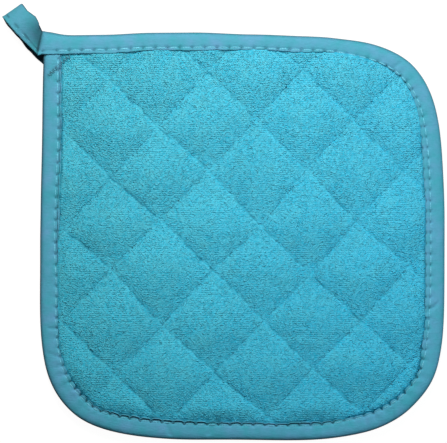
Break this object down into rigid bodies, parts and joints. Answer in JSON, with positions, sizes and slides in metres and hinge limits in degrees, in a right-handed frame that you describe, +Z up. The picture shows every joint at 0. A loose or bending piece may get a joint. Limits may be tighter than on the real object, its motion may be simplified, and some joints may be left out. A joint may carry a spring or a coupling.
{
  "type": "pot holder",
  "caption": "Square quilted terry pot holder with rounded corners, a bound edge and a hanging loop at its square corner, lying flat.",
  "frame": {"origin": "on the surface it lies on, under the middle of the whole object's footprint, loop included", "axes": "+Z up from the surface, +X to the right and +Y away from the viewer, seen from above with the loop at the upper left"},
  "size_m": [0.1944, 0.1922, 0.0087],
  "materials": {
    "terry": "turquoise cotton terry, matt looped pile with quilting lines sewn through",
    "binding_cloth": "plain-woven turquoise tape, a little greyer than the terry, topstitched along its inner edge"
  },
  "bodies": {
    "root": {"quilted_pad": "terry", "edge_binding": "binding_cloth", "hanging_loop": "binding_cloth"}
  },
  "joints": []
}
